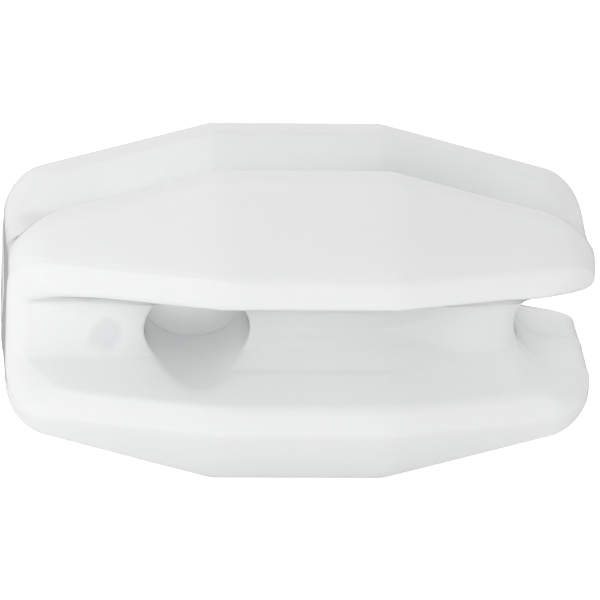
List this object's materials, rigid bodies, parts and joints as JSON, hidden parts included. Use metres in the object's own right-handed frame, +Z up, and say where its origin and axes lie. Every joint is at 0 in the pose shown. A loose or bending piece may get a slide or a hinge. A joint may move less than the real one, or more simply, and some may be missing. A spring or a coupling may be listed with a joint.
{
  "type": "strain insulator",
  "caption": "Moulded white plastic strain insulator for fence wire or rope: crossed lengthwise wings with grooves between them, crossed wire eyes and tapered ends, one of them slotted.",
  "frame": {"origin": "middle of the body, on its long axis, halfway between the two eyes", "axes": "+X along the body towards the end whose slot runs front to back, +Z up with the body standing on its two lower wings, -Y to the front, where the first eye opens"},
  "size_m": [0.08, 0.0442, 0.0442],
  "materials": {
    "body_plastic": "satin, slightly waxy moulded polyethylene, natural white"
  },
  "bodies": {
    "root": {"insulator_body": "body_plastic"}
  },
  "joints": []
}
